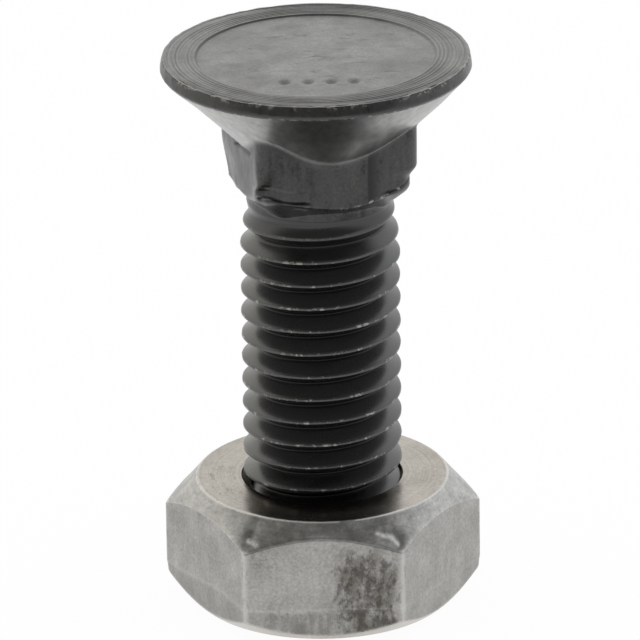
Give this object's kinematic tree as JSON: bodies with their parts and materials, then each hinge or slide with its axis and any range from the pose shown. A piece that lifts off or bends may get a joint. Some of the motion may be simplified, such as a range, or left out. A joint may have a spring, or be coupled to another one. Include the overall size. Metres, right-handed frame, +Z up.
{
  "type": "plow bolt",
  "caption": "Countersunk flat-head bolt with a square neck and a full right-hand thread, standing head up on its hexagon nut.",
  "frame": {"origin": "middle of the nut's base, on the bolt's axis", "axes": "+Z up the bolt's axis to the head, +X through a corner of the nut, -Y out of a flat of the nut"},
  "size_m": [0.0196, 0.019, 0.0354],
  "materials": {
    "black_steel": "black oxide, oiled, worn at the edges",
    "bare_steel": "bare, satin, with dark stains"
  },
  "bodies": {
    "bolt": {"plow_bolt": "black_steel"},
    "nut": {"hex_nut": "bare_steel"}
  },
  "joints": [
    {"name": "nut_travel", "type": "slide", "parent": "bolt", "child": "nut", "axis": [0, 0, 1], "range_m": [-0.0075, 0.015]}
  ]
}
